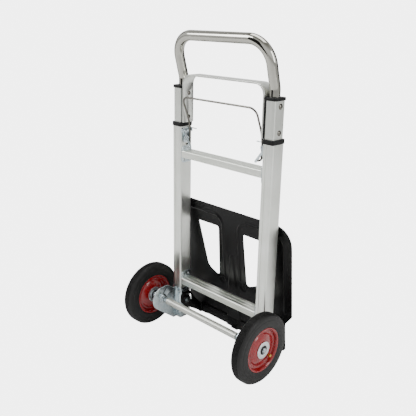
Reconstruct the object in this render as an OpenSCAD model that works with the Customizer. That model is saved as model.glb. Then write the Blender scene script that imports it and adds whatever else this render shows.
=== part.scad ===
// Folding hand truck with a telescoping upper frame, shown folded: the toe plate is
// turned up against the rails and the upper frame is pushed down to its stops.
// Origin: on the ground, under the middle of the folded truck. +X is the operator's
// right, +Y points forward to the load side, +Z is up. All sizes in millimetres.

/* [Wheels and axle] */
// Diameter of the rubber tyres
wheel_d = 180; // [160:1:190]
// Width of each tyre
tyre_w = 31; // [26:1:36]
// Distance between the two wheel centres
track = 402; // [396:1:420]
// Axle centre behind the rear faces of the rails
axle_back = 55; // [50:1:60]
// Diameter of the axle rod
axle_d = 12; // [10:0.5:14]
// Radius of the pressed steel rim at its rolled lip
rim_r = 57; // [50:1:62]
// Radius of the hub plates
hub_plate_r = 22; // [20:1:25]

/* [Lower frame] */
// Gap between the inner faces of the two lower rails
rail_gap = 275; // [270:1:280]
// Width of a lower rail, side to side
rail_w = 31; // [30:0.5:32]
// Depth of a lower rail, front to back
rail_d = 40; // [38:0.5:44]
// Wall of the rail extrusions
rail_wall = 1.6; // [1.2:0.1:1.8]
// Height of the lower ends of the rails above the ground
rail_bottom = 13.6; // [13.4:0.1:15]
// Height of the upper ends of the lower rails
rail_top = 577; // [570:1:585]
// Underside of the upper crossbar
upper_bar_z = 490.5; // [480:0.5:495]
// Underside of the lower crossbar
lower_bar_z = 120; // [120:0.5:126]
// Height of both crossbars
bar_h = 19.5; // [16:0.5:20]
// Depth of both crossbars, front to back
bar_d = 36; // [30:1:38]

/* [Upper frame] */
// Width of an upper rail
slide_w = 26.4; // [25:0.1:26.6]
// Depth of an upper rail
slide_d = 36; // [35:0.1:36.2]
// Lower ends of the upper rails when pushed down
slide_bottom = 160; // [158:1:180]
// Upper ends of the upper rails when pushed down
slide_top = 672; // [665:1:680]
// How far the upper frame pulls out
slide_travel = 300; // [250:5:300]
// Outside diameter of the handle tube
handle_d = 25.4; // [24:0.2:25.4]
// Half the distance between the legs of the handle
handle_x = 148.6; // [147:0.2:150]
// Height of the centreline of the grip
grip_z = 803.3; // [790:0.5:820]
// Backward lean of the handle, in degrees
handle_lean = 15.4; // [10:0.2:18]
// Top face of the flat bow between the upper rails
bow_top = 709; // [700:1:715]

/* [Toe plate] */
// Half the width of the toe plate
toe_half = 201; // [196:1:205]
// Thickness of the pressed sheet
toe_t = 3; // [2:0.2:4]
// Top edge of the folded toe plate above the ground
toe_top = 367; // [340:1:380]
// Lean of the folded toe plate onto the rails, in degrees
toe_lean = 6; // [5.5:0.1:6.2]
// Height of the toe plate's hinge bolts above the ground
pivot_z = 66.3; // [66:0.1:67]
// Hinge bolts in front of the rear faces of the rails
pivot_front = 20; // [18:0.5:20]
// Distance from the hinge line to the load face of the toe plate
toe_off = 57.5; // [57:0.1:57.8]

/* [Release] */
// Diameter of the release wire
bail_d = 5; // [4:0.5:5]
// Half the distance between the legs of the release wire
bail_x = 122; // [121:0.5:122]
// Height of the top run of the release wire
bail_top = 653; // [644:1:656]

/* [Hidden] */
$fn = 48;
eps = 0.01;
fine = 0.05;            // radial clearance of a pin in its hole

wheel_r = wheel_d / 2;
rail_x = rail_gap / 2 + rail_w / 2;     // middle of a rail, from the centre plane
rail_in = rail_gap / 2;                 // inner face of a rail
rail_out = rail_in + rail_w;            // outer face of a rail

// the toe plate's own directions when folded: "off" points away from the hinge line
// through the sheet, "up" runs along the sheet
toe_c = cos(toe_lean);
toe_s = sin(toe_lean);
ear_t = 3;
toe_foot = 6;                           // bottom edge of the sheet above the ground
toe_tail = (pivot_z + (toe_off - ear_t) * toe_s) / toe_c;   // the yoke's tongue stands on the ground
toe_head = (toe_top - pivot_z - toe_off * toe_s) / toe_c;
front_reach = pivot_front + (toe_off + toe_t) * toe_c - along(toe_foot) * toe_s;
rear_reach = axle_back + wheel_r;

rear_y = (rear_reach - front_reach) / 2;    // rear faces of the rails
mid_y = rear_y + rail_d / 2;                // middle plane of the rails
axle_y = rear_y - axle_back;
pivot_y = rear_y + pivot_front;

// parts that meet at a rail
plate_t = 2;                            // end plates of the crossbars
bar_end = rail_in - plate_t;            // crossbars run between the end plates
wrap_t = 2.5;                           // sheet of the axle brackets
ear_in = rail_in - wrap_t - 3.5;        // inner face of a toe plate ear
pivot_d = 8;
stop_r = 17;                            // stop bolts run in slots of this radius
stop_d = 6;
fold_angle = 90 + toe_lean;

// hub and axle along X, measured from the wheel's middle plane
hub_half = 15;                          // half the length of the hub
cap_r = 7;
hub_r = 13.5;
hub_in = 11.5;
lobe_r = 35;
tube_r = 9.3;
tube_half = 129;
valve_r = 3;

// collars, caps and the handle
collar_h = 11;
collar_z = rail_top - 3.5;
collar_lip = 1.8;
cap_h = 7.5;
cap_z = slide_top;
bow_t = 4;
bow_in = rail_in - 7.5;                 // inner face of the bow's legs
bow_r = 28;
bow_d = 36;
spacer_in = bow_in + bow_t;
spacer_out = rail_x - slide_w / 2;
bow_z = collar_z + collar_h;            // the bow stands on the collars when pushed down
handle_y = rear_y + 21;
handle_wall = 1.6;
handle_bend_z = 694;
handle_bend_r = 30;
corner_r = 56;
rivet_d = 6;

// latch levers
latch_hinge_x = rail_in - 4.7;
latch_hinge_z = 563;
latch_t = 2;
latch_out = rail_in - 1.5;              // outer face of the latch leaf
lock_z = 540;
lock_d = 6;
lock_tip = rail_x - slide_w / 2 - 0.5;
hook_z = 530;
ramp_angle = 35;                        // cam edge of the latch, from the vertical
tab_y = rear_y + 8;
tab_t = 2.5;
bail_y = rear_y + 18;
peg_z = rail_top - 6;

// ---- shapes used by several parts ----

// unit vector of v
function unit(v) = v / norm(v);

// points of the arc that rounds corner q, between its neighbours p and r
function corner_arc(p, q, r, radius, steps = 8) =
    let (a = unit(p - q), b = unit(r - q),
        half = acos(max(-1, min(1, a * b))) / 2,
        c = q + unit(a + b) * radius / sin(half),
        v = q + a * radius / tan(half) - c,
        turn = -sign(a[0] * b[1] - a[1] * b[0]) * (180 - 2 * half))
    [for (i = [0:steps]) let (t = turn * i / steps)
        c + [v[0] * cos(t) - v[1] * sin(t), v[0] * sin(t) + v[1] * cos(t)]];

// outline whose corners are [x, y, radius]
function rounded(corners) =
    let (n = len(corners), at = function (i) [corners[i % n][0], corners[i % n][1]])
    [for (i = [0:n - 1]) let (r = corners[i][2])
        each (r > 0 ? corner_arc(at(i + n - 1), at(i), at(i + 1), r) : [at(i)])];

// rectangle with round corners, centred
module round_rect(w, d, r) {
    square([w - 2 * r, d], center = true);
    square([w, d - 2 * r], center = true);
    for (x = [-1, 1], y = [-1, 1])
        translate([x * (w / 2 - r), y * (d / 2 - r)]) circle(r);
}

// the right-hand part, or its mirror image on the left
module handed(side) {
    if (side < 0) mirror([1, 0, 0]) children();
    else children();
}

// child stands at the middle of a rail
module on_rail(side) translate([side * rail_x, mid_y, 0]) children();

// bar that starts along +Z; each step is [run, bend radius, bend angle, roll];
// the straights are a hair thinner than the bends and reach a little way into them
module bent_bar(steps, r, i = 0) {
    lap = 0.2;
    if (i < len(steps)) {
        run = steps[i][0];
        bend = steps[i][1];
        angle = steps[i][2];
        start = i > 0 ? -lap : 0;
        end = angle > 0 ? run + lap : run;
        rotate([0, 0, steps[i][3]]) {
            translate([0, 0, start]) cylinder(h = end - start, r = r - eps);
            translate([0, 0, run]) {
                if (angle > 0)
                    translate([bend, 0, 0]) rotate([90, 0, 180])
                        rotate_extrude(angle = angle) translate([bend, 0]) circle(r);
                translate([bend * (1 - cos(angle)), 0, bend * sin(angle)])
                    rotate([0, angle, 0]) bent_bar(steps, r, i + 1);
            }
        }
    }
}

// pin along +X from x0 to x1
module x_pin(x0, x1, r) translate([x0, 0, 0]) rotate([0, 90, 0]) cylinder(h = x1 - x0, r = r);

// domed rivet head on the plane x = 0, pointing along +X
module dome(r, h) {
    ball = (r * r + h * h) / (2 * h);
    rotate([0, 90, 0]) rotate_extrude() intersection() {
        translate([0, h - ball]) circle(ball);
        square([2 * r, 2 * h]);
    }
}

// ---- lower frame ----

module lower_rail(side) {
    groove_x = -4;      // both rails are the same extrusion, so the groove is not mirrored
    color("lightgray") difference() {
        on_rail(side) translate([0, 0, rail_bottom]) linear_extrude(rail_top - rail_bottom)
            difference() {
                round_rect(rail_w, rail_d, 4);
                round_rect(rail_w - 2 * rail_wall, rail_d - 2 * rail_wall, 2.5);
                translate([groove_x, -rail_d / 2]) square([2.4, 2], center = true);
            }
        handed(side) {
            translate([0, pivot_y, pivot_z]) x_pin(rail_in - 1, rail_out + 1, pivot_d / 2 + fine);
            translate([0, stop_y(), stop_z()]) x_pin(rail_in - 1, rail_x, stop_d / 2 + fine);
            translate([0, mid_y, lock_z]) x_pin(rail_in - 1, rail_x, 4.2);
            crossbar_rivet_places() x_pin(rail_in - 1, rail_x, 2.5);
            bracket_rivet_places()
                rotate([0, 0, 90]) x_pin(-1, rail_wall + 1, 2.5);
            translate([0, peg_y(), peg_z]) x_pin(rail_in - 1, rail_in + rail_wall + 1, 1.5);
            latch_rivet_places() x_pin(rail_in - 1, rail_in + rail_wall + 1, 1.5);
        }
    }
}
module lower_rail_left() lower_rail(-1);
module lower_rail_right() lower_rail(1);

module foot_plug(side) {
    flange = 0.8;
    color("dimgray") on_rail(side) {
        translate([0, 0, rail_bottom - flange]) linear_extrude(flange) round_rect(rail_w, rail_d, 4);
        translate([0, 0, rail_bottom]) linear_extrude(14) difference() {
            round_rect(rail_w - 2 * rail_wall, rail_d - 2 * rail_wall, 2.5);
            round_rect(rail_w - 2 * rail_wall - 5, rail_d - 2 * rail_wall - 5, 1);
        }
    }
}
module foot_plug_left() foot_plug(-1);
module foot_plug_right() foot_plug(1);

// plastic guide ring that caps a lower rail and carries the upper rail
module collar(side) {
    color("dimgray") on_rail(side) translate([0, 0, collar_z]) {
        linear_extrude(rail_top - collar_z) difference() {
            round_rect(rail_w + 2 * collar_lip, rail_d + 2 * collar_lip, 5);
            round_rect(rail_w, rail_d, 4);
        }
        translate([0, 0, rail_top - collar_z])
            linear_extrude(collar_h - (rail_top - collar_z)) difference() {
                round_rect(rail_w + 2 * collar_lip, rail_d + 2 * collar_lip, 5);
                round_rect(slide_w + 0.6, slide_d + 0.6, 3);
            }
    }
}
module collar_left() collar(-1);
module collar_right() collar(1);

// box extrusion with two ribs on its rear face
module crossbar(z) {
    wall = 2;
    color("lightgray") translate([-bar_end, mid_y, z + bar_h / 2]) rotate([90, 0, 90])
        linear_extrude(2 * bar_end) difference() {
            round_rect(bar_d, bar_h, 3);
            round_rect(bar_d - 2 * wall, bar_h - 2 * wall, 1.5);
            for (y = [-6, 6]) translate([y, bar_h / 2]) square([1.4, 1], center = true);
        }
}
module upper_crossbar() crossbar(upper_bar_z);
module lower_crossbar() crossbar(lower_bar_z);

// end plate between a crossbar and a rail
module crossbar_plate(side, z0, z1) {
    handed(side) color("slategray") difference() {
        translate([bar_end, mid_y, (z0 + z1) / 2]) rotate([90, 0, 90])
            linear_extrude(plate_t) round_rect(rail_d - 5, z1 - z0, 7);
        crossbar_rivet_places() x_pin(bar_end - 1, rail_in + 1, 2.5);
    }
}
module crossbar_plate_upper_left() crossbar_plate(-1, upper_bar_z - 14, upper_bar_z + 31);
module crossbar_plate_upper_right() crossbar_plate(1, upper_bar_z - 14, upper_bar_z + 31);
module crossbar_plate_lower_left() crossbar_plate(-1, lower_bar_z - 2, lower_bar_z + 37);
module crossbar_plate_lower_right() crossbar_plate(1, lower_bar_z - 2, lower_bar_z + 37);

// rivets below and above the upper crossbar and above the lower one, on the right-hand side
module crossbar_rivet_places() {
    for (z = [upper_bar_z - 7, upper_bar_z + bar_h + 6, lower_bar_z + bar_h + 8], y = [-9, 9])
        translate([0, mid_y + y, z]) children();
}
module crossbar_rivets() {
    color("silver") for (side = [-1, 1]) handed(side) crossbar_rivet_places() {
        x_pin(bar_end, rail_in + rail_wall + 0.4, 2.5 - eps);
        translate([bar_end, 0, 0]) mirror([1, 0, 0]) dome(4, 1.6);
    }
}

// ---- axle ----

// zinc plated bracket: a U round the rail and a round lobe that carries the axle
module axle_bracket(side) {
    top = 110;
    lobe_t = 3;
    lobe = rounded([[axle_y - lobe_r, wheel_r + lobe_r, lobe_r - 1], [axle_y + 20, wheel_r + lobe_r, 12],
        [rear_y - 12, top - 2, 10], [rear_y - wrap_t + eps, top, 0], [rear_y - wrap_t + eps, rail_bottom, 0],
        [rear_y - 14, rail_bottom, 4], [axle_y - lobe_r, wheel_r - lobe_r / 2 + 0.5, lobe_r - 1]]);
    handed(side) color("slategray") difference() {
        union() {
            translate([rail_x, mid_y, rail_bottom]) linear_extrude(top - rail_bottom) difference() {
                round_rect(rail_w + 2 * wrap_t, rail_d + 2 * wrap_t, 6);
                round_rect(rail_w, rail_d, 4);
                translate([-rail_w, rail_d / 2 - 12]) square([2 * rail_w, 20]);
            }
            translate([rail_x - lobe_t / 2, 0, 0]) rotate([90, 0, 90]) linear_extrude(lobe_t) polygon(lobe);
        }
        translate([0, axle_y, wheel_r]) x_pin(rail_x - 5, rail_x + 5, axle_d / 2 + fine);
        translate([0, pivot_y, pivot_z]) x_pin(rail_in - 5, rail_out + 5, pivot_d / 2 + fine);
        translate([0, stop_y(), stop_z()]) x_pin(rail_in - 5, rail_x, stop_d / 2 + fine);
        bracket_rivet_places() rotate([0, 0, 90]) x_pin(-wrap_t - 1, 1, 2.5);
        // the bracket clears the lower end plates
        translate([rail_in - wrap_t - 1, rear_y + 1, lower_bar_z - 14])
            cube([wrap_t + 1 + eps, rail_d, 20]);
    }
}
module axle_bracket_left() axle_bracket(-1);
module axle_bracket_right() axle_bracket(1);

// rivets through the rear web of a bracket into the rail, on the right-hand side
module bracket_rivet_places() {
    for (x = [-9.5, 9.5], z = [30, 98]) translate([rail_x + x, rear_y, z]) children();
}
module bracket_rivets() {
    color("silver") for (side = [-1, 1]) handed(side) bracket_rivet_places() rotate([0, 0, 90]) {
        x_pin(-wrap_t, rail_wall + 0.9, 2.5 - eps);
        translate([-wrap_t, 0, 0]) mirror([1, 0, 0]) dome(4.2, 1.8);
    }
}

module axle_rod() {
    end = track / 2 + hub_half + 4;
    color("silver") translate([0, axle_y, wheel_r]) x_pin(-end, end, axle_d / 2);
}

module axle_tube() {
    color("gainsboro") translate([0, axle_y, wheel_r]) difference() {
        x_pin(-tube_half, tube_half, tube_r);
        x_pin(-tube_half - 1, tube_half + 1, axle_d / 2 + fine);
    }
}

// flanged nuts that hold the lobes on the axle
module axle_nuts() {
    inner = rail_x - 1.5;
    color("silver") for (side = [-1, 1]) handed(side) translate([0, axle_y, wheel_r]) difference() {
        union() {
            x_pin(inner - 2, inner, 13);
            translate([inner - 9, 0, 0]) rotate([0, 90, 0]) cylinder(h = 7, r = 11, $fn = 6);
        }
        x_pin(inner - 10, inner + 1, axle_d / 2 + fine);
    }
}

// tubes that keep the wheels off the lobes
module wheel_spacers() {
    color("silver") for (side = [-1, 1]) handed(side) translate([0, axle_y, wheel_r]) difference() {
        x_pin(rail_x + 1.5, track / 2 - hub_half - 0.6, 9);
        x_pin(rail_x, track / 2, axle_d / 2 + fine);
    }
}

// push-on caps outside the wheels
module axle_caps() {
    face = track / 2 + hub_half + 0.5;
    color("silver") for (side = [-1, 1]) handed(side) translate([face, axle_y, wheel_r]) difference() {
        union() {
            x_pin(0, 1.2, cap_r);
            translate([1.2, 0, 0]) rotate([0, 90, 0]) cylinder(h = 4, r1 = cap_r - 0.6, r2 = cap_r - 2);
        }
        x_pin(-1, 3.5, axle_d / 2 + fine);
    }
}

// ---- toe plate hinge hardware ----

function stop_y() = pivot_y + stop_r;
function stop_z() = pivot_z;

module toe_hinge_bolts() {
    head = rail_out + wrap_t;
    color("silver") for (side = [-1, 1]) handed(side) translate([0, pivot_y, pivot_z]) {
        x_pin(ear_in - 5.5, head, pivot_d / 2);
        translate([head, 0, 0]) rotate([0, 90, 0]) cylinder(h = 5, r = 7.4, $fn = 6);
    }
}
module toe_hinge_nuts() {
    color("silver") for (side = [-1, 1]) handed(side) translate([0, pivot_y, pivot_z]) difference() {
        union() {
            x_pin(ear_in - 1.8, ear_in - 0.3, 7.6);
            translate([ear_in - 5, 0, 0]) rotate([0, 90, 0]) cylinder(h = 3.4, r = 6.8, $fn = 6);
        }
        x_pin(ear_in - 6, ear_in + 1, pivot_d / 2 + fine);
    }
}
// shouldered bolts that run in the slots of the ears and stop the toe plate
module toe_stop_bolts() {
    color("silver") for (side = [-1, 1]) handed(side) translate([0, stop_y(), stop_z()]) {
        x_pin(ear_in - 0.5, rail_in + rail_wall + 0.9, stop_d / 2);
        translate([ear_in - 0.5, 0, 0]) mirror([1, 0, 0]) dome(4.6, 2.6);
    }
}

// ---- release ----

function peg_y() = bail_y + bail_d / 2 + 1.8;

module latch_rivet_places() {
    for (y = [-7, 7]) translate([0, mid_y - 2 + y, latch_hinge_z + 4.4]) children();
}

// two lugs on a strip that carry the hinge pin of a latch
module latch_bracket(side) {
    strip = 0.9;
    handed(side) color("slategray") difference() {
        union() {
            translate([rail_in - strip, rear_y + 2, latch_hinge_z - 6]) cube([strip, 33, 12.5]);
            for (y = [2, 33]) translate([latch_hinge_x - 3, rear_y + y, latch_hinge_z - 4])
                cube([rail_in - latch_hinge_x + 3, 2, 8]);
        }
        translate([latch_hinge_x, rear_y, latch_hinge_z]) rotate([-90, 0, 0])
            cylinder(h = 50, r = 1.5 + fine);
        latch_rivet_places() x_pin(rail_in - 5, rail_in + 1, 1.5);
    }
}
module latch_bracket_left() latch_bracket(-1);
module latch_bracket_right() latch_bracket(1);

// hinge pins of the latches and the rivets of their brackets
module latch_pins() {
    color("silver") for (side = [-1, 1]) handed(side) {
        translate([latch_hinge_x, rear_y + 1, latch_hinge_z]) rotate([-90, 0, 0]) cylinder(h = 35, r = 1.5);
        latch_rivet_places() {
            x_pin(rail_in - 0.9, rail_in + rail_wall + 0.4, 1.5 - eps);
            translate([rail_in - 0.9, 0, 0]) mirror([1, 0, 0]) dome(2.6, 0.9);
        }
    }
}

// pegs that the legs of the release wire lean on
module bail_guide_pegs() {
    color("silver") for (side = [-1, 1]) handed(side) translate([0, peg_y(), peg_z])
        x_pin(102, rail_in + rail_wall + 0.4, 1.5 - eps);
}

// wire bail: a hook under each latch, a leg that leans back, and the top run
module release_bail() {
    r = bail_d / 2;
    hook_r = 5;
    hook_run = 8;
    lean = 22;
    lean_r = 120;
    leg = 560 - hook_z - hook_r;
    rise = bail_top - 560 - lean_r * sin(lean);
    top_r = 20;
    side_run = rise / cos(lean) - top_r;
    color("silver") translate([bail_x, bail_y - hook_r - hook_run, hook_z]) rotate([-90, 0, 0])
        bent_bar([[hook_run, hook_r, 90, -90], [leg, lean_r, lean, 0], [side_run, top_r, 90, -90],
            [2 * (bail_x - top_r), top_r, 90, 0], [side_run, lean_r, lean, 90],
            [leg, hook_r, 90, 0], [hook_run, 0, 0, 0]], r);
}

function ramp_top() = hook_z + 1.66 + (latch_out - bail_x + 2.38) / tan(ramp_angle);

// lever with a rolled barrel on top, and a tab whose cam edge rests on the hook
module latch_leaf(side) {
    low = hook_z - 7;
    ramp_in = latch_out - (ramp_top() - low) * tan(ramp_angle);
    leaf = rounded([[rear_y + 4.6, latch_hinge_z, 0], [rear_y + 4.6, 543, 4], [rear_y + 10, 531, 4],
        [rear_y + 26, 531, 4], [rear_y + 31.4, 543, 4], [rear_y + 31.4, latch_hinge_z, 0]]);
    handed(side) color("lightsteelblue") difference() {
        union() {
            translate([latch_out - latch_t, 0, 0]) rotate([90, 0, 90]) linear_extrude(latch_t)
                polygon(leaf);
            translate([latch_hinge_x, rear_y + 4.6, latch_hinge_z]) rotate([-90, 0, 0])
                cylinder(h = 26.8, r = 3.2);
            translate([0, tab_y + tab_t, 0]) rotate([90, 0, 0]) linear_extrude(tab_t)
                polygon([[latch_out, ramp_top()], [ramp_in, low], [ramp_in - 5, low], [ramp_in - 5, low + 4],
                    [latch_out - 5, ramp_top() + 2], [latch_out, ramp_top() + 2]]);
        }
        translate([latch_hinge_x, rear_y, latch_hinge_z]) rotate([-90, 0, 0])
            cylinder(h = 50, r = 1.5 + fine);
        translate([0, mid_y, lock_z]) x_pin(latch_out - 5, latch_out + 5, lock_d / 2 - 1);
    }
}
module latch_leaf_left() latch_leaf(-1);
module latch_leaf_right() latch_leaf(1);

// pin that enters the upper rail when it is pulled out
module lock_pin(side) {
    handed(side) color("silver") translate([0, mid_y, lock_z]) {
        x_pin(latch_out, lock_tip, lock_d / 2);
        x_pin(latch_out - latch_t - eps, latch_out, lock_d / 2 - 1 - eps);
        translate([latch_out - latch_t, 0, 0]) mirror([1, 0, 0]) dome(4, 1.5);
    }
}
module lock_pin_left() lock_pin(-1);
module lock_pin_right() lock_pin(1);

// ---- upper frame ----

module upper_rail(side) {
    color("whitesmoke") difference() {
        on_rail(side) translate([0, 0, slide_bottom]) linear_extrude(slide_top - slide_bottom) difference() {
            round_rect(slide_w, slide_d, 3);
            round_rect(slide_w - 2 * rail_wall, slide_d - 2 * rail_wall, 1.5);
        }
        handed(side) {
            translate([0, mid_y, lock_z - slide_travel]) x_pin(rail_in, rail_x, 4.2);
            upper_rivet_places() x_pin(rail_in, rail_out, rivet_d / 2);
        }
    }
}
module upper_rail_left() upper_rail(-1);
module upper_rail_right() upper_rail(1);

// plastic shoe that fills the lower rail round the end of the upper rail
module slide_shoe(side) {
    color("dimgray") on_rail(side) {
        translate([0, 0, slide_bottom - 4]) linear_extrude(4)
            round_rect(rail_w - 2 * rail_wall - 0.6, rail_d - 2 * rail_wall - 0.6, 2.2);
        translate([0, 0, slide_bottom]) linear_extrude(16)
            round_rect(slide_w - 2 * rail_wall - 0.1, slide_d - 2 * rail_wall - 0.1, 1.4);
    }
}
module slide_shoe_left() slide_shoe(-1);
module slide_shoe_right() slide_shoe(1);

// plastic cap over rail and spacer, with a stub up into the handle tube
module top_cap(side) {
    inner = rail_in - 2;
    outer = rail_out + 1;
    handed(side) color("dimgray") {
        translate([(inner + outer) / 2, mid_y, cap_z]) linear_extrude(cap_h)
            round_rect(outer - inner, rail_d + 2, 7);
        translate([rail_x, mid_y, cap_z - 9]) linear_extrude(9)
            round_rect(slide_w - 2 * rail_wall - 0.1, slide_d - 2 * rail_wall - 0.1, 1.4);
        translate([handle_x, handle_y, cap_z + cap_h])
            cylinder(h = 13, r = handle_d / 2 - handle_wall - fine);
    }
}
module top_cap_left() top_cap(-1);
module top_cap_right() top_cap(1);

// black plastic strip between the bow and the upper rail
module bow_spacer(side) {
    handed(side) color("black") difference() {
        translate([spacer_in, mid_y - slide_d / 2 + 2, bow_z])
            cube([spacer_out - spacer_in, slide_d - 4, cap_z - bow_z]);
        upper_rivet_places() x_pin(rail_in - 20, rail_x, rivet_d / 2);
    }
}
module bow_spacer_left() bow_spacer(-1);
module bow_spacer_right() bow_spacer(1);

// flat aluminium strip bent to an upside-down U
module flat_bow() {
    outer = bow_in + bow_t;
    inner_r = bow_r - bow_t;
    color("gainsboro") difference() {
        translate([0, mid_y + bow_d / 2, 0]) rotate([90, 0, 0]) linear_extrude(bow_d) difference() {
            union() {
                translate([-outer, bow_z]) square([2 * outer, bow_top - bow_r - bow_z]);
                translate([-outer + bow_r, bow_z]) square([2 * (outer - bow_r), bow_top - bow_z]);
                for (x = [-1, 1]) translate([x * (outer - bow_r), bow_top - bow_r]) circle(bow_r);
            }
            translate([-bow_in, bow_z - 1]) square([2 * bow_in, bow_top - bow_r - bow_z + 1]);
            translate([-outer + bow_r, bow_z - 1])
                square([2 * (outer - bow_r), bow_top - bow_t - bow_z + 1]);
            for (x = [-1, 1]) translate([x * (outer - bow_r), bow_top - bow_r]) circle(inner_r);
        }
        for (side = [-1, 1]) handed(side) upper_rivet_places() x_pin(rail_in - 20, rail_x, rivet_d / 2);
    }
}

// rivets through bow, spacer and upper rail, on the right-hand side
module upper_rivet_places() {
    for (z = [599, 659]) translate([0, mid_y + 2, z]) children();
}
module upper_rivets() {
    face = rail_x + slide_w / 2;
    color("silver") for (side = [-1, 1]) handed(side) upper_rivet_places() {
        x_pin(bow_in, face, rivet_d / 2 - eps);
        translate([face, 0, 0]) dome(7, 3);
        translate([bow_in, 0, 0]) mirror([1, 0, 0]) dome(5.4, 1.8);
    }
}

// the handle's centreline as a round bar, with its two ends made longer by over
module handle_path(r, over = 0) {
    straight = handle_bend_z - cap_z - cap_h + over;
    rise = grip_z - handle_bend_z - handle_bend_r * sin(handle_lean);
    side_run = rise / cos(handle_lean) - corner_r;
    translate([handle_x, handle_y, cap_z + cap_h - over])
        bent_bar([[straight, handle_bend_r, handle_lean, -90], [side_run, corner_r, 90, -90],
            [2 * (handle_x - corner_r), corner_r, 90, 0], [side_run, handle_bend_r, handle_lean, 90],
            [straight, 0, 0, 0]], r);
}
module handle_tube() {
    color("silver") difference() {
        handle_path(handle_d / 2);
        handle_path(handle_d / 2 - handle_wall, 1);
    }
}

// ---- toe plate ----

// child drawn in the sheet's plane: x across, y along the sheet, z through it
module on_toe_plane() {
    translate([0, pivot_y, pivot_z]) rotate([90 + toe_lean, 0, 0]) mirror([0, 0, 1])
        translate([0, 0, toe_off]) children();
}
// height above the ground as a place along the sheet
function along(z) = (z - pivot_z - toe_off * toe_s) / toe_c;

module toe_panel() {
    low_half = 179;                 // half width beside the wheels
    right = [[low_half, along(toe_foot), 12], [low_half, along(92), 5], [toe_half, along(121), 6],
        [toe_half, toe_head, 50]];
    left = [for (i = [len(right) - 1:-1:0]) [-right[i][0], right[i][1], right[i][2]]];
    window = [[43, along(310), 7], [49, along(163), 7], [58, along(158), 9], [92, along(174), 26],
        [121, along(309), 4]];
    color("dimgray") on_toe_plane() linear_extrude(toe_t) difference() {
        polygon(rounded(concat(right, left)));
        polygon(rounded(window));
        mirror([1, 0]) polygon(rounded(window));
    }
}

// U-shaped yoke welded to the rear face of the sheet: a band across, which has a tongue that
// stands on the ground, and at each end an ear, which turns on the hinge bolt and is slotted
// for the stop bolt
module toe_yoke() {
    out = [toe_c, toe_s];
    up = [-toe_s, toe_c];
    band_top = toe_off * out + along(37) * up;
    band_low = toe_off * out - toe_tail * up;
    side_view = rounded([[-23, -3, 10], [-23, 24, 14], [12, 27, 14], [36, -8, 12],
        concat(band_top - ear_t * out, 4), concat(band_top, 0), concat(band_low, 0),
        concat(band_low - (ear_t + eps) * out, 0), [46, -51, 4], [15, -31, 20]]);
    edge = ear_in + ear_t;
    reach = 100;
    plan = rounded([[edge, 0, 7], [edge, -reach, 0], [ear_in, -reach, 0], [ear_in, -ear_t, 4],
        [-ear_in, -ear_t, 4], [-ear_in, -reach, 0], [-edge, -reach, 0], [-edge, 0, 7]]);
    tongue = 12;
    notch = rounded([[tongue, -toe_tail - 1, 0], [tongue, along(18), 8], [92, along(18), 14],
        [112, along(toe_foot), 10], [edge + 1, along(toe_foot), 0], [edge + 1, -toe_tail - 1, 0]]);
    color("dimgray") difference() {
        intersection() {
            on_toe_plane() translate([0, 80, 0]) rotate([90, 0, 0]) linear_extrude(160) polygon(plan);
            translate([-edge - 1, pivot_y, pivot_z]) rotate([90, 0, 90])
                linear_extrude(2 * edge + 2) polygon(side_view);
        }
        for (side = [-1, 1]) handed(side) {
            on_toe_plane() translate([0, 0, -14]) linear_extrude(15) polygon(notch);
            translate([ear_in, pivot_y, pivot_z]) {
                x_pin(-1, ear_t + 1, pivot_d / 2 + fine);
                rotate([90, 0, 90]) translate([0, 0, -1]) stop_slot();
            }
        }
    }
}
// arc slot from the folded stop to the working stop
module stop_slot() {
    half = stop_d / 2 + 0.2;
    difference() {
        cylinder(h = ear_t + 2, r = stop_r + half);
        translate([0, 0, -1]) cylinder(h = ear_t + 4, r = stop_r - half);
        translate([-50, -100, -1]) cube([100, 100, ear_t + 4]);
        rotate([0, 0, fold_angle]) translate([-50, 0, -1]) cube([100, 100, ear_t + 4]);
    }
    for (a = [0, fold_angle]) rotate([0, 0, a]) translate([stop_r, 0, 0]) cylinder(h = ear_t + 2, r = half);
}

// ---- wheels ----

module at_wheel(side) {
    handed(side) translate([track / 2, axle_y, wheel_r]) rotate([0, 90, 0]) children();
}

// rubber tyre with five ribs round the tread
module tyre(side) {
    half = tyre_w / 2;
    shoulder = 7;
    groove = 0.8;
    color("dimgray") at_wheel(side) rotate_extrude() difference() {
        union() {
            translate([rim_r - 3 + eps, -half + 4.2]) square([5, tyre_w - 8.4]);
            translate([rim_r + eps, -half + 1]) square([6, tyre_w - 2]);
            translate([rim_r + 4, -half]) square([wheel_r - shoulder - rim_r - 4, tyre_w]);
            translate([rim_r, -half + shoulder]) square([wheel_r - rim_r, tyre_w - 2 * shoulder]);
            for (y = [-1, 1]) translate([wheel_r - shoulder, y * (half - shoulder)]) circle(shoulder);
        }
        for (y = [-6:3:6]) translate([wheel_r, y]) circle(groove, $fn = 16);
    }
}
module tyre_left() tyre(-1);
module tyre_right() tyre(1);

// pressed steel rim: two dished halves joined at the middle plane
module rim(side) {
    t = 1.6;
    lip = tyre_w / 2 - 0.6;
    // [radius, distance from the middle plane] along the outer surface of one half
    dish = [[rim_r - 3, 0], [rim_r - 3, lip - 3], [rim_r, lip - 2], [rim_r, lip], [rim_r - 6, lip], [45, 7],
        [40, 5], [36, 6.5], [24, hub_half - 1.5], [hub_r, hub_half - 1.5]];
    inner = [[hub_r, hub_half - 1.5 - t], [23, hub_half - 1.5 - t], [35, 6.5 - t], [40, 5 - t], [46, 7 - t],
        [rim_r - 6 - t, lip - 5], [rim_r - 6 - t, 0]];
    color("crimson") at_wheel(side) difference() {
        rotate_extrude() for (y = [0, 1]) mirror([0, y]) polygon(concat(dish, inner));
        at_valve() cylinder(h = 20, r = valve_r + fine);
    }
}
module rim_left() rim(-1);
module rim_right() rim(1);

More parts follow.
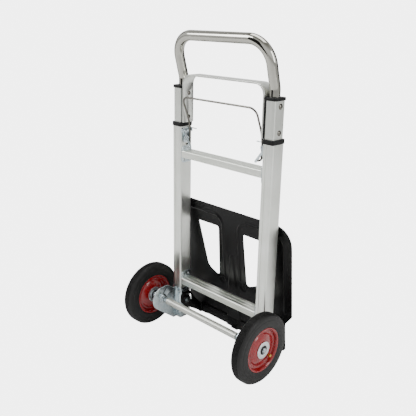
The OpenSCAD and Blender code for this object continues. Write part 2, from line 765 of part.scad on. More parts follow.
// a valve stands on the outer dish, square to the wheel
module at_valve() rotate([0, 0, 45]) translate([40, 0, 0]) children();
module valve(side) {
    color("goldenrod") at_wheel(side) at_valve() {
        cylinder(h = 11, r = valve_r);
        translate([0, 0, 9]) cylinder(h = 5.5, r = valve_r + 0.8);
    }
}
module valve_left() valve(-1);
module valve_right() valve(1);

module hub(side) {
    color("silver") at_wheel(side) translate([0, 0, -hub_half + 1.5]) difference() {
        cylinder(h = 2 * hub_half - 3, r = hub_r - fine);
        translate([0, 0, -1]) cylinder(h = 2 * hub_half, r = hub_in);
    }
}
module hub_left() hub(-1);
module hub_right() hub(1);

// plastic plain bearings pushed into both ends of the hub
module hub_bearings(side) {
    color("dimgray") at_wheel(side) for (y = [0, 1]) mirror([0, 0, y]) translate([0, 0, 2]) difference() {
        cylinder(h = hub_half - 2, r = hub_in - eps);
        translate([0, 0, -1]) cylinder(h = hub_half, r = axle_d / 2 + fine);
    }
}
module hub_bearings_left() hub_bearings(-1);
module hub_bearings_right() hub_bearings(1);

// zinc plated plates spot welded to both faces of the rim
module hub_plates(side) {
    color("silver") at_wheel(side) for (y = [0, 1]) mirror([0, 0, y])
        translate([0, 0, hub_half - 1.5]) difference() {
            cylinder(h = 1.2, r = hub_plate_r);
            translate([0, 0, -1]) cylinder(h = 4, r = hub_in);
        }
}
module hub_plates_left() hub_plates(-1);
module hub_plates_right() hub_plates(1);

lower_rail_left();
lower_rail_right();
foot_plug_left();
foot_plug_right();
collar_left();
collar_right();
upper_crossbar();
lower_crossbar();
crossbar_plate_upper_left();
crossbar_plate_upper_right();
crossbar_plate_lower_left();
crossbar_plate_lower_right();
crossbar_rivets();
axle_bracket_left();
axle_bracket_right();
bracket_rivets();
axle_rod();
axle_tube();
axle_nuts();
wheel_spacers();
axle_caps();
toe_hinge_bolts();
toe_hinge_nuts();
toe_stop_bolts();
latch_bracket_left();
latch_bracket_right();
latch_pins();
bail_guide_pegs();
upper_rail_left();
upper_rail_right();
slide_shoe_left();
slide_shoe_right();
top_cap_left();
top_cap_right();
bow_spacer_left();
bow_spacer_right();
flat_bow();
handle_tube();
upper_rivets();
toe_panel();
toe_yoke();
tyre_left();
tyre_right();
rim_left();
rim_right();
valve_left();
valve_right();
hub_left();
hub_right();
hub_bearings_left();
hub_bearings_right();
hub_plates_left();
hub_plates_right();
release_bail();
latch_leaf_left();
latch_leaf_right();
lock_pin_left();
lock_pin_right();
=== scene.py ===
"""Looks of a folding hand truck in its storage pose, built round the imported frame, in metres."""

import math

import bmesh
import bpy
from mathutils import Matrix, Vector
from mathutils.bvhtree import BVHTree
from mathutils.kdtree import KDTree


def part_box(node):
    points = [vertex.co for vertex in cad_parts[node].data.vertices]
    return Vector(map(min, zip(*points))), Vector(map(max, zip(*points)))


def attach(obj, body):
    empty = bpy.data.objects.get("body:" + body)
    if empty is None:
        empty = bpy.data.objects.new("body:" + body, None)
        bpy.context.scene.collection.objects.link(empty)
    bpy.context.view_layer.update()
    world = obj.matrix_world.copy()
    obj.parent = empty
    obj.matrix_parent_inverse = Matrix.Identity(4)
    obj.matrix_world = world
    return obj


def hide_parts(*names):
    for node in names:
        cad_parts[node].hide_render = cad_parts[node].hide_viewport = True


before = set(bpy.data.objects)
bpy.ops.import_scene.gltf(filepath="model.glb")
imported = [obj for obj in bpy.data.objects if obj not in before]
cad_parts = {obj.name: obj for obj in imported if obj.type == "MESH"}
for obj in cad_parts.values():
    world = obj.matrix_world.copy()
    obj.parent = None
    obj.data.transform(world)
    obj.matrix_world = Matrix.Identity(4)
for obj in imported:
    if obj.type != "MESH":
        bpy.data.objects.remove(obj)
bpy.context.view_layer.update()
MM = 0.001

# ---- Lower and upper rails ----
# Rectangular tubes of extruded 6063 aluminium, sawn to length and satin anodised.
# The die leaves fine lines along each tube, and the anodising softens every reflection.


def linear(code):
    """An sRGB colour such as "#c8cac4" as linear red, green, blue and alpha."""
    parts = [int(code[i:i + 2], 16) / 255 for i in (1, 3, 5)]
    return [c / 12.92 if c <= 0.04045 else ((c + 0.055) / 1.055) ** 2.4 for c in parts] + [1]


def add(tree, kind, values=(), links=(), **settings):
    """Adds a shader node with its settings, its sockets' values and its incoming links."""
    node = tree.nodes.new("ShaderNode" + kind)
    for name, value in settings.items():
        setattr(node, name, value)
    for socket, value in dict(values).items():
        node.inputs[socket].default_value = value
    for socket, source in dict(links).items():
        tree.links.new(source, node.inputs[socket])
    return node


def finish(name, **constants):
    """A new material with its node tree, its shader and the Object coordinates."""
    material = bpy.data.materials.new(name)
    material.use_nodes = True
    tree = material.node_tree
    shader = tree.nodes["Principled BSDF"]
    for socket, value in constants.items():
        shader.inputs[socket.replace("_", " ")].default_value = value
    place = add(tree, "TexCoord").outputs["Object"]
    return material, tree, shader, place


def lay_on(tree, shader, colour, rough, bump=None):
    """Joins a finish's colour, its roughness and, where it has one, its bump to the shader."""
    tree.links.new(colour.outputs[2], shader.inputs["Base Color"])
    tree.links.new(rough.outputs[0], shader.inputs["Roughness"])
    if bump:
        tree.links.new(bump.outputs[0], shader.inputs["Normal"])


def anodised(name, lines_along, pale="#f1f3ee", dark="#dcdfd8"):
    """Satin anodised extrusion: die lines 0.9 mm apart run along the given axis."""
    material, tree, shader, place = finish(name, Metallic=1.0)
    across = 1 / (0.9 * MM)
    along = 1 / (400 * MM)
    scale = [along if axis == lines_along else across for axis in "XYZ"]
    stretched = add(tree, "Mapping", {"Scale": scale}, {"Vector": place})
    die_lines = add(tree, "TexNoise", {"Scale": 1.0, "Detail": 2.0}, {"Vector": stretched.outputs[0]})
    clouds = add(tree, "TexNoise", {"Scale": 1 / (60 * MM), "Detail": 3.0}, {"Vector": place})
    both = add(tree, "Math", links={0: die_lines.outputs["Fac"], 1: clouds.outputs["Fac"]},
               operation="MULTIPLY")
    tone = add(tree, "MapRange", {"From Min": 0.12, "From Max": 0.42}, {"Value": both.outputs[0]})
    colour = add(tree, "Mix", {6: linear(dark), 7: linear(pale)}, {0: tone.outputs[0]}, data_type="RGBA")
    rough = add(tree, "MapRange", {"To Min": 0.30, "To Max": 0.42}, {"Value": die_lines.outputs["Fac"]})
    bump = add(tree, "Bump", {"Strength": 0.12, "Distance": 0.05 * MM}, {"Height": die_lines.outputs["Fac"]})
    lay_on(tree, shader, colour, rough, bump)
    return material


def dress(material, *nodes):
    """Gives CAD nodes a finish."""
    for node in nodes:
        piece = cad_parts[node]
        for slot in piece.material_slots:
            slot.material = material


anodised_upright = anodised("anodised_aluminium_upright", "Z")
for side in ("left", "right"):
    dress(anodised_upright, f"lower_rail_{side}", f"upper_rail_{side}")

# ---- Crossbars and their end plates ----
# Two shorter lengths of ribbed extrusion, anodised like the rails, between zinc plated end
# plates that are riveted to the rails' inner faces.

dress(anodised("anodised_aluminium_crosswise", "X", "#eceee7", "#d7dbd2"), "upper_crossbar", "lower_crossbar")


def zinc(name, pale, dark, roughness):
    """Bright zinc plate over pressed or turned steel: cool, cloudy and a little blotchy."""
    material, tree, shader, place = finish(name, Metallic=1.0)
    patches = add(tree, "TexVoronoi", {"Scale": 1 / (5 * MM)}, {"Vector": place}, feature="SMOOTH_F1")
    haze = add(tree, "TexNoise", {"Scale": 1 / (14 * MM), "Detail": 4.0}, {"Vector": place})
    blend = add(tree, "Math", links={0: patches.outputs["Distance"], 1: haze.outputs["Fac"]},
                operation="MULTIPLY")
    tone = add(tree, "MapRange", {"From Min": 0.08, "From Max": 0.4}, {"Value": blend.outputs[0]})
    colour = add(tree, "Mix", {6: linear(dark), 7: linear(pale)}, {0: tone.outputs[0]}, data_type="RGBA")
    rough = add(tree, "MapRange", {"To Min": roughness - 0.06, "To Max": roughness + 0.08},
                {"Value": haze.outputs["Fac"]})
    lay_on(tree, shader, colour, rough)
    return material


zinc_sheet = zinc("zinc_plated_sheet", "#dbe4e7", "#bdcad0", 0.2)
zinc_fixings = zinc("zinc_plated_fixings", "#d6dadb", "#a3adb2", 0.15)


SAME_POINT = 0.002 * MM
SAME_PLANE = math.radians(0.5)
SHARP_EDGE = math.radians(35)


def softened(node, body, material, edge_mm, segments=2):
    """A merged copy of a CAD node whose sharp edges are rounded to edge_mm, as pressing leaves them."""
    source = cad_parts[node]
    shape = bmesh.new()
    shape.from_mesh(source.data)
    bmesh.ops.remove_doubles(shape, verts=shape.verts[:], dist=SAME_POINT)
    bmesh.ops.dissolve_limit(shape, angle_limit=SAME_PLANE, verts=shape.verts[:], edges=shape.edges[:])
    mesh = bpy.data.meshes.new(f"{node}_softened")
    shape.to_mesh(mesh)
    shape.free()
    mesh.shade_smooth()
    mesh.materials.clear()
    mesh.materials.append(material)
    piece = bpy.data.objects.new(f"{node}_softened", mesh)
    bpy.context.scene.collection.objects.link(piece)
    rounding = piece.modifiers.new("rounded_edges", "BEVEL")
    rounding.width = edge_mm * MM
    rounding.segments = segments
    rounding.limit_method = "ANGLE"
    rounding.angle_limit = SHARP_EDGE
    rounding.use_clamp_overlap = False
    rounding.harden_normals = True
    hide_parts(node)
    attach(piece, body)
    return piece


for side in ("left", "right"):
    for level in ("upper", "lower"):
        softened(f"crossbar_plate_{level}_{side}", "frame", zinc_sheet, 0.4)
dress(zinc_fixings, "crossbar_rivets")

# ---- Axle, its brackets and its fixings ----
# The brackets are pressed from 2.5 mm steel and zinc plated, with rivets into the rails. A
# grainy drawn tube covers the axle rod between them, and nuts and spacers hold it in place.

for side in ("left", "right"):
    softened(f"axle_bracket_{side}", "frame", zinc_sheet, 0.8)
softened("axle_nuts", "frame", zinc_fixings, 0.6)
dress(zinc_fixings, "bracket_rivets", "axle_rod", "wheel_spacers", "axle_caps")
drawn, tree, shader, place = finish("drawn_aluminium_tube", Metallic=1.0)
grain = add(tree, "TexNoise", {"Scale": 1 / (1.4 * MM), "Detail": 3.0}, {"Vector": place})
colour = add(tree, "Mix", {6: linear("#a9aba4"), 7: linear("#dcddd7")}, {0: grain.outputs["Fac"]},
             data_type="RGBA")
rough = add(tree, "MapRange", {"To Min": 0.28, "To Max": 0.55}, {"Value": grain.outputs["Fac"]})
bump = add(tree, "Bump", {"Strength": 0.35, "Distance": 0.15 * MM}, {"Height": grain.outputs["Fac"]})
lay_on(tree, shader, colour, rough, bump)
dress(drawn, "axle_tube")

# ---- Black plastic mouldings ----
# Foot plugs, collars, slide shoes, top caps and the strips beside the bow are moulded in
# black ABS with a fine spark-eroded grain that keeps them matt.

abs_plastic, tree, shader, place = finish("black_moulded_abs", IOR=1.5, Specular_IOR_Level=0.25)
grain = add(tree, "TexNoise", {"Scale": 1 / (0.8 * MM), "Detail": 2.0}, {"Vector": place})
scuffs = add(tree, "TexNoise", {"Scale": 1 / (18 * MM), "Detail": 4.0}, {"Vector": place})
colour = add(tree, "Mix", {6: linear("#040505"), 7: linear("#0c0d0e")}, {0: scuffs.outputs["Fac"]},
             data_type="RGBA")
rough = add(tree, "MapRange", {"To Min": 0.42, "To Max": 0.6}, {"Value": scuffs.outputs["Fac"]})
bump = add(tree, "Bump", {"Strength": 0.25, "Distance": 0.08 * MM}, {"Height": grain.outputs["Fac"]})
lay_on(tree, shader, colour, rough, bump)
for side in ("left", "right"):
    softened(f"collar_{side}", "frame", abs_plastic, 0.7)
    softened(f"top_cap_{side}", "upper_frame", abs_plastic, 2.0, segments=4)
    dress(abs_plastic, f"foot_plug_{side}", f"slide_shoe_{side}", f"bow_spacer_{side}",
          f"hub_bearings_{side}")

# ---- Bow ----
# A flat aluminium strip bent to an upside-down U and left with its rolled satin face.

bow_metal, tree, shader, place = finish("rolled_aluminium_strip", Metallic=1.0)
haze = add(tree, "TexNoise", {"Scale": 1 / (30 * MM), "Detail": 5.0}, {"Vector": place})
colour = add(tree, "Mix", {6: linear("#d3d5cf"), 7: linear("#ebede8")}, {0: haze.outputs["Fac"]},
             data_type="RGBA")
rough = add(tree, "MapRange", {"To Min": 0.28, "To Max": 0.4}, {"Value": haze.outputs["Fac"]})
lay_on(tree, shader, colour, rough)
softened("flat_bow", "upper_frame", bow_metal, 0.8)

# ---- Handle and release wire ----
# The handle is a 25.4 mm steel tube, bent cold, polished and chromed to a mirror. The release
# wire is 5 mm steel that goes through the same bends and gets a thinner nickel plate.

chrome, tree, shader, place = finish("bright_chrome", Metallic=1.0)
haze = add(tree, "TexNoise", {"Scale": 1 / (25 * MM), "Detail": 4.0}, {"Vector": place})
colour = add(tree, "Mix", {6: linear("#a3a29a"), 7: linear("#b9b8b1")}, {0: haze.outputs["Fac"]},
             data_type="RGBA")
rough = add(tree, "MapRange", {"To Min": 0.03, "To Max": 0.09}, {"Value": haze.outputs["Fac"]})
lay_on(tree, shader, colour, rough)
dress(chrome, "handle_tube")

# thin nickel plate over drawn wire is darker and duller; the rivets of the upper rails have it too
wire_plate, tree, shader, place = finish("nickel_plated_wire", Metallic=1.0)
haze = add(tree, "TexNoise", {"Scale": 1 / (9 * MM), "Detail": 4.0}, {"Vector": place})
colour = add(tree, "Mix", {6: linear("#55534e"), 7: linear("#77756f")}, {0: haze.outputs["Fac"]},
             data_type="RGBA")
tree.links.new(colour.outputs[2], shader.inputs["Base Color"])
shader.inputs["Roughness"].default_value = 0.16
dress(wire_plate, "release_bail", "upper_rivets")

# ---- Latches ----
# Pressed levers and hinge strips, zinc plated, on plated pins beside the rails' inner faces.

for side in ("left", "right"):
    dress(zinc_sheet, f"latch_bracket_{side}")
    softened(f"latch_leaf_{side}", f"latch_{side}", zinc_sheet, 0.35)
    dress(zinc_fixings, f"lock_pin_{side}")
dress(zinc_fixings, "latch_pins", "bail_guide_pegs", "toe_hinge_bolts", "toe_hinge_nuts", "toe_stop_bolts")

# ---- Toe plate ----
# One pressed steel sheet with two windows and stiffening beads, welded to a U-shaped yoke that
# carries the hinge ears. Both are powder coated black, with the slight orange peel of such a coat.

powder, tree, shader, place = finish("black_powder_coat", IOR=1.5, Specular_IOR_Level=0.2)
peel = add(tree, "TexNoise", {"Scale": 1 / (1.6 * MM), "Detail": 2.0}, {"Vector": place})
dust = add(tree, "TexNoise", {"Scale": 1 / (45 * MM), "Detail": 5.0}, {"Vector": place})
colour = add(tree, "Mix", {6: linear("#020203"), 7: linear("#070708")}, {0: dust.outputs["Fac"]},
             data_type="RGBA")
rough = add(tree, "MapRange", {"To Min": 0.3, "To Max": 0.44}, {"Value": dust.outputs["Fac"]})
bump = add(tree, "Bump", {"Strength": 0.2, "Distance": 0.1 * MM}, {"Height": peel.outputs["Fac"]})
lay_on(tree, shader, colour, rough, bump)
softened("toe_yoke", "toe_plate", powder, 0.9)

LEAN = math.radians(6)
PANEL_T = 3 * MM
MESH_STEP = 2 * MM
panel_low, panel_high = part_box("toe_panel")
half_width = panel_high.x
# the sheet's plane: x across, then up along the sheet, then out through it to the front
up = Vector((0, -math.sin(LEAN), math.cos(LEAN)))
out = Vector((0, math.cos(LEAN), math.sin(LEAN)))
panel_length = (panel_high.z - panel_low.z - PANEL_T * math.sin(LEAN)) / math.cos(LEAN)
heel = Vector((0, panel_high.y - PANEL_T * math.cos(LEAN), panel_low.z))
on_panel = Matrix((Vector((1, 0, 0)), up, out)).transposed().to_4x4()
on_panel.translation = heel


def corners(mesh, points):
    """A closed outline of wire edges; each corner is (x, y, radius) in millimetres."""
    verts = [mesh.verts.new((x * MM, y * MM, 0)) for x, y, _ in points]
    for i, vert in enumerate(verts):
        mesh.edges.new((verts[i - 1], vert))
    for vert, (x, y, radius) in zip(verts, points):
        if radius > 0:
            legs = [(edge.other_vert(vert).co - vert.co).normalized() for edge in vert.link_edges]
            half = legs[0].angle(legs[1]) / 2
            bmesh.ops.bevel(mesh, geom=[vert], offset=radius * MM / math.tan(half), segments=8, profile=0.5,
                            affect="VERTICES", material=-1)


def height(z_mm):
    """Distance up the sheet, in millimetres, of a point on it z_mm above the ground."""
    return (z_mm - heel.z / MM) / math.cos(LEAN)


flat = bmesh.new()
wide = half_width / MM
top = panel_length / MM
beside_wheels = 179
outline = [(beside_wheels, 0, 12), (beside_wheels, height(92), 5), (wide, height(121), 6),
           (wide, top, 50)]
corners(flat, outline + [(-x, y, r) for x, y, r in reversed(outline)])
window = [(43, height(310), 7), (49, height(163), 7), (58, height(158), 9), (92, height(174), 26),
          (121, height(309), 4)]
corners(flat, window)
corners(flat, [(-x, y, r) for x, y, r in window])


def points_along(wire, spacing_mm):
    """Closely spaced points along the edges of a wire outline, as a tree to measure from."""
    points = []
    for edge in wire.edges:
        a, b = (vert.co for vert in edge.verts)
        pieces = max(1, round((b - a).length / (spacing_mm * MM)))
        points += [a.lerp(b, i / pieces) for i in range(pieces + 1)]
    tree = KDTree(len(points))
    for i, point in enumerate(points):
        tree.insert(point, i)
    tree.balance()
    return tree


rim_points = points_along(flat, 0.25)
bmesh.ops.triangle_fill(flat, use_beauty=True, edges=flat.edges[:])
inside = BVHTree.FromBMesh(flat)
flat.free()

# a fine net over the sheet, cut to the outline and drawn out to its edges
panel = bmesh.new()
bmesh.ops.create_grid(panel, size=0.5, x_segments=round(2 * half_width / MESH_STEP),
                      y_segments=round(panel_length / MESH_STEP),
                      matrix=Matrix.Translation((0, panel_length / 2, 0))
                      @ Matrix.Diagonal((2 * half_width, panel_length, 1, 1)))
outside = [face for face in panel.faces
           if inside.ray_cast(face.calc_center_median() + Vector((0, 0, 1)), Vector((0, 0, -1)))[0] is None]
bmesh.ops.delete(panel, geom=outside, context="FACES")
for vert in panel.verts:
    if vert.is_boundary:
        vert.co = rim_points.find(vert.co)[0]

# beads: half-round ridges pressed towards the rails
BEAD_HALF = 5.5 * MM
BEAD_RISE = 2.8 * MM
EDGE_SLOPE = 4 * MM


def bead_line(points):
    """Points along an open line with round corners; each corner is (x, y, cut) in millimetres."""
    wire = bmesh.new()
    verts = [wire.verts.new((x * MM, y * MM, 0)) for x, y, _ in points]
    for a, b in zip(verts, verts[1:]):
        wire.edges.new((a, b))
    for vert, (x, y, radius) in zip(verts, points):
        if radius > 0:
            bmesh.ops.bevel(wire, geom=[vert], offset=radius * MM, segments=10, profile=0.5,
                            affect="VERTICES", material=-1)
    line = points_along(wire, 0.4)
    wire.free()
    return line


def slope(distance):
    """1 inside a pressed area, 0 outside, with a smooth wall EDGE_SLOPE wide at distance 0."""
    t = min(1, max(0, 0.5 - distance / EDGE_SLOPE))
    return t * t * (3 - 2 * t)


loop = [(28, height(168), 0), (28, height(344), 30), (181, height(344), 34), (181, height(128), 0)]
bead = bead_line(loop)
RIB_LOW, RIB_HIGH = height(112) * MM, height(236) * MM
RIB_TIP_HALF, RIB_FLARE, RIB_RISE = 5 * MM, 13 * MM, 3 * MM
DIMPLE_AT = Vector((38 * MM, height(148) * MM, 0))
DIMPLE_R, DIMPLE_DEPTH = 9 * MM, 2.2 * MM
for vert in panel.verts:
    spot = Vector((abs(vert.co.x), vert.co.y, 0))
    near = bead.find(spot)[2]
    rise = 0
    if near < BEAD_HALF:
        rise = BEAD_RISE * (0.5 + 0.5 * math.cos(math.pi * near / BEAD_HALF))
    # the rib between the windows is narrow and round at its top, and widens downwards
    reach = (RIB_HIGH - spot.y) / (RIB_HIGH - RIB_LOW)
    rib_half = RIB_TIP_HALF + RIB_FLARE * max(0, reach)
    rise += RIB_RISE * slope(max(spot.x - rib_half, spot.y - RIB_HIGH + spot.x * 0.6))
    # a round dimple beside the rib, under each window
    rise -= DIMPLE_DEPTH * slope((spot - DIMPLE_AT).length - DIMPLE_R)
    vert.co.z -= rise
panel.normal_update()
if sum(face.normal.z for face in panel.faces) > 0:
    bmesh.ops.reverse_faces(panel, faces=panel.faces[:])
bmesh.ops.solidify(panel, geom=panel.faces[:], thickness=PANEL_T)
panel.transform(on_panel)
mesh = bpy.data.meshes.new("toe_panel_pressed")
panel.to_mesh(mesh)
panel.free()
mesh.shade_smooth()
mesh.materials.append(powder)
pressed = bpy.data.objects.new("toe_panel_pressed", mesh)
bpy.context.scene.collection.objects.link(pressed)
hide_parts("toe_panel")
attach(pressed, "toe_plate")

# ---- Wheels ----
# A rubber tyre with grooves round its tread sits on a pressed steel rim in two dished halves,
# stoved in red enamel. Zinc plated hub plates close the bearings, and a brass valve stands in the rim.

rubber, tree, shader, place = finish("moulded_rubber", IOR=1.52, Specular_IOR_Level=0.3)
dust = add(tree, "TexNoise", {"Scale": 1 / (22 * MM), "Detail": 6.0}, {"Vector": place})
grain = add(tree, "TexNoise", {"Scale": 1 / (1.2 * MM), "Detail": 2.0}, {"Vector": place})
colour = add(tree, "Mix", {6: linear("#080808"), 7: linear("#121211")}, {0: dust.outputs["Fac"]},
             data_type="RGBA")
rough = add(tree, "MapRange", {"To Min": 0.36, "To Max": 0.58}, {"Value": dust.outputs["Fac"]})
bump = add(tree, "Bump", {"Strength": 0.25, "Distance": 0.1 * MM}, {"Height": grain.outputs["Fac"]})
lay_on(tree, shader, colour, rough, bump)

enamel, tree, shader, place = finish("red_stoved_enamel", IOR=1.5, Specular_IOR_Level=0.3,
                                     Coat_Weight=0.7, Coat_Roughness=0.03)
peel = add(tree, "TexNoise", {"Scale": 1 / (2.5 * MM), "Detail": 2.0}, {"Vector": place})
depth = add(tree, "TexNoise", {"Scale": 1 / (12 * MM), "Detail": 4.0}, {"Vector": place})
colour = add(tree, "Mix", {6: linear("#6d070c"), 7: linear("#930b12")}, {0: depth.outputs["Fac"]},
             data_type="RGBA")
rough = add(tree, "MapRange", {"To Min": 0.18, "To Max": 0.3}, {"Value": depth.outputs["Fac"]})
bump = add(tree, "Bump", {"Strength": 0.05, "Distance": 0.1 * MM}, {"Height": peel.outputs["Fac"]})
lay_on(tree, shader, colour, rough, bump)


RIM_SHEET = 1.4 * MM


def turned(name, profile, centre, closed, material, rounding, steps=128):
    """Spins a profile of (radius, offset along the axle), in millimetres, about the axle."""
    shape = bmesh.new()
    verts = [shape.verts.new((a * MM, 0, r * MM)) for r, a in profile]
    for a, b in zip(verts, verts[1:]):
        shape.edges.new((a, b))
    if closed:
        shape.edges.new((verts[-1], verts[0]))
    inner = [vert for vert in verts if len(vert.link_edges) == 2]
    bmesh.ops.bevel(shape, geom=inner, offset=rounding * MM, segments=3, profile=0.5, affect="VERTICES",
                    material=-1, clamp_overlap=True)
    bmesh.ops.spin(shape, geom=shape.verts[:] + shape.edges[:], cent=(0, 0, 0), axis=(1, 0, 0),
                   angle=2 * math.pi, steps=steps, use_merge=True)
    bmesh.ops.remove_doubles(shape, verts=shape.verts[:], dist=0.001 * MM)
    bmesh.ops.recalc_face_normals(shape, faces=shape.faces[:])
    if not closed:
        bmesh.ops.solidify(shape, geom=shape.faces[:], thickness=RIM_SHEET)
    shape.transform(Matrix.Translation(centre))
    mesh = bpy.data.meshes.new(name)
    shape.to_mesh(mesh)
    shape.free()
    mesh.shade_smooth()
    mesh.materials.append(material)
    piece = bpy.data.objects.new(name, mesh)
    bpy.context.scene.collection.objects.link(piece)
    return piece


zinc_plate_bright = zinc("zinc_plated_hub_plate", "#f0f2f2", "#cdd3d5", 0.34)
brass, tree, shader, place = finish("turned_brass", Metallic=1.0)
turning = add(tree, "TexWave", {"Scale": 1 / (1.2 * MM), "Distortion": 0.5}, {"Vector": place},
              bands_direction="X")
colour = add(tree, "Mix", {6: linear("#b08d3c"), 7: linear("#d9b764")}, {0: turning.outputs["Fac"]},
             data_type="RGBA")
tree.links.new(colour.outputs[2], shader.inputs["Base Color"])
shader.inputs["Roughness"].default_value = 0.25

for side in ("left", "right"):
    low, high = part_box(f"tyre_{side}")
    centre = (low + high) / 2
    outer = (high.z - low.z) / 2 / MM
    half = (high.x - low.x) / 2 / MM
    seat = (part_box(f"rim_{side}")[1].z - centre.z) / MM
    # from the bead at the rim, up the sidewall and over the shoulder to the ribbed tread
    wall = [(seat - 2.8, half - 3.6), (seat + 0.3, half - 2.6), (seat + 0.3, half - 1.2),
            (seat + 2, half - 0.3), (seat + 9, half), (outer - 16, half), (outer - 14.5, half - 0.7),
            (outer - 9, half - 0.8), (outer - 4, half - 2.2), (outer - 1.2, half - 5)]
    ribs = []
    for groove in (7.5, 4.5, 1.5):
        ribs += [(outer, groove + 1.0), (outer - 1.8, groove + 0.6), (outer - 1.8, groove - 0.6),
                 (outer, groove - 1.0)]
    side_in = [(r, -a) for r, a in reversed(wall + ribs)]
    tyre = turned(f"ribbed_tyre_{side}", wall + ribs + side_in, centre, True, rubber, rounding=0.5)
    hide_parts(f"tyre_{side}")
    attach(tyre, f"wheel_{side}")

    lip = (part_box(f"rim_{side}")[1].x - centre.x) / MM
    # from the well under the tyre, round the rolled lip and down the dish to the hub plate
    dish = [(seat - 4.5, 2), (seat - 3.2, lip - 3.4), (seat - 1.8, lip - 2.2), (seat, lip - 1.4),
            (seat - 0.2, lip), (seat - 3, lip - 0.2), (seat - 5.5, lip - 3), (seat - 7, lip - 9.4),
            (seat - 11, lip - 10.6), (seat - 15.5, lip - 10.2), (seat - 18.5, lip - 7.6),
            (seat - 27, lip - 4.4), (seat - 34, lip - 2.4), (seat - 43.5, lip - 2.2)]
    for half_name, sign in (("outer", 1), ("inner", -1)):
        rim = turned(f"rim_{half_name}_{side}", [(r, sign * a) for r, a in dish], centre, False, enamel,
                     rounding=1.2)
        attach(rim, f"wheel_{side}")
        if sign > 0:
            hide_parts(f"rim_{side}")
    dress(zinc_fixings, f"hub_{side}")
    softened(f"hub_plates_{side}", f"wheel_{side}", zinc_plate_bright, 0.45)
    dress(brass, f"valve_{side}")

# ---- Studio ----
# A plain white floor and soft light from large panels, with narrow black cards that the camera
# does not see, so that chrome and zinc have something dark to reflect.

# the ground and the backdrop are overexposed, as on a light table; only the camera sees this light
GLOW = 5

floor_mesh = bmesh.new()
bmesh.ops.create_circle(floor_mesh, cap_ends=True, segments=96, radius=40)
mesh = bpy.data.meshes.new("studio_floor")
floor_mesh.to_mesh(mesh)
floor_mesh.free()
floor = bpy.data.objects.new("studio_floor", mesh)
bpy.context.scene.collection.objects.link(floor)
paper, tree, shader, _ = finish("white_paper", Roughness=0.9)
shader.inputs["Base Color"].default_value = linear("#f6f6f6")
glow = add(tree, "Emission", {"Strength": GLOW})
seen = add(tree, "MixShader", links={0: add(tree, "LightPath").outputs["Is Camera Ray"], 1: shader.outputs[0],
                                     2: glow.outputs[0]})
tree.links.new(seen.outputs[0], tree.nodes["Material Output"].inputs["Surface"])
mesh.materials.append(paper)

# white walls all round under a grey ceiling
world = bpy.data.worlds.new("studio")
bpy.context.scene.world = world
world.use_nodes = True
sky = world.node_tree
heading = add(sky, "SeparateXYZ", links={0: add(sky, "TexCoord").outputs["Generated"]})
rising = add(sky, "MapRange", {"From Min": 0.35, "From Max": 0.95}, {"Value": heading.outputs["Z"]},
             interpolation_type="SMOOTHSTEP")
shade = add(sky, "Mix", {6: linear("#ffffff"), 7: linear("#8c8b85")}, {0: rising.outputs[0]},
            data_type="RGBA")
sky.links.new(shade.outputs[2], sky.nodes["Background"].inputs["Color"])
sky.nodes["Background"].inputs["Strength"].default_value = 1.15
backdrop = add(sky, "Background", {"Color": linear("#ffffff"), "Strength": GLOW})
choice = add(sky, "MixShader", links={0: add(sky, "LightPath").outputs["Is Camera Ray"],
                                      1: sky.nodes["Background"].outputs[0], 2: backdrop.outputs[0]})
sky.links.new(choice.outputs[0], sky.nodes["World Output"].inputs["Surface"])

card_black, _, shader, _ = finish("black_card", Roughness=0.95)
shader.inputs["Base Color"].default_value = linear("#0a0a0a")


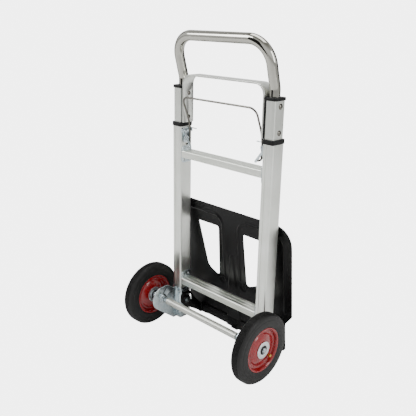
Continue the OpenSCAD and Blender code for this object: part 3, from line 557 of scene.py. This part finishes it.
def black_card(name, bearing, distance, width, bottom, top):
    """An upright black card facing the truck, at a compass bearing in degrees from +X towards +Y."""
    shape = bmesh.new()
    bmesh.ops.create_grid(shape, x_segments=1, y_segments=1, size=0.5,
                          matrix=Matrix.Diagonal((width, top - bottom, 1, 1)))
    shape.transform(Matrix.Rotation(math.radians(bearing), 4, "Z")
                    @ Matrix.Translation((distance, 0, (bottom + top) / 2))
                    @ Matrix.Rotation(math.radians(90), 4, "Z") @ Matrix.Rotation(math.radians(90), 4, "X"))
    mesh = bpy.data.meshes.new(name)
    shape.to_mesh(mesh)
    shape.free()
    mesh.materials.append(card_black)
    card = bpy.data.objects.new(name, mesh)
    bpy.context.scene.collection.objects.link(card)
    card.visible_camera = False
    card.visible_shadow = False
    card.visible_diffuse = False


for spot_name, bearing, card_width in (("behind", 254, 1.7), ("in_front", 76, 1.9), ("left", 178, 0.7)):
    black_card(f"card_{spot_name}", bearing, 2.4, card_width, 0.0, 2.2)


def panel_light(name, place, aim, width, height_m, power):
    """A soft box that points from place to aim."""
    data = bpy.data.lights.new(name, "AREA")
    data.shape = "RECTANGLE"
    data.size, data.size_y, data.energy = width, height_m, power
    lamp = bpy.data.objects.new(name, data)
    lamp.location = place
    lamp.rotation_mode = "QUATERNION"
    lamp.rotation_quaternion = (Vector(aim) - Vector(place)).to_track_quat("-Z", "Y")
    bpy.context.scene.collection.objects.link(lamp)


middle = (0, 0, 0.4)
panel_light("key_panel", (-1.6, -1.9, 2.2), middle, 1.4, 1.4, 60)
panel_light("side_panel", (2.4, 0.4, 1.4), middle, 0.8, 1.6, 25)
panel_light("top_panel", (0.0, 0.2, 2.6), middle, 1.8, 1.2, 30)

# the camera stands behind the truck and to its right, a little above the handle
camera_data = bpy.data.cameras.new("customer_view")
camera_data.sensor_width = 36
camera_data.lens = 49.5
camera = bpy.data.objects.new("customer_view", camera_data)
bpy.context.scene.collection.objects.link(camera)
bpy.context.scene.camera = camera
turn, dip, tilt = math.radians(44.32), math.radians(18.69), math.radians(1.02)
view_line = Vector((-math.sin(turn) * math.cos(dip), math.cos(turn) * math.cos(dip), -math.sin(dip)))
level = Vector((math.cos(turn), math.sin(turn), 0))
upright = level.cross(view_line)
right = level * math.cos(tilt) + upright * math.sin(tilt)
above = upright * math.cos(tilt) - level * math.sin(tilt)
stand = Matrix((right, above, -view_line)).transposed().to_4x4()
stand.translation = (0.94854, -0.97636, 0.85137)
camera.matrix_world = stand
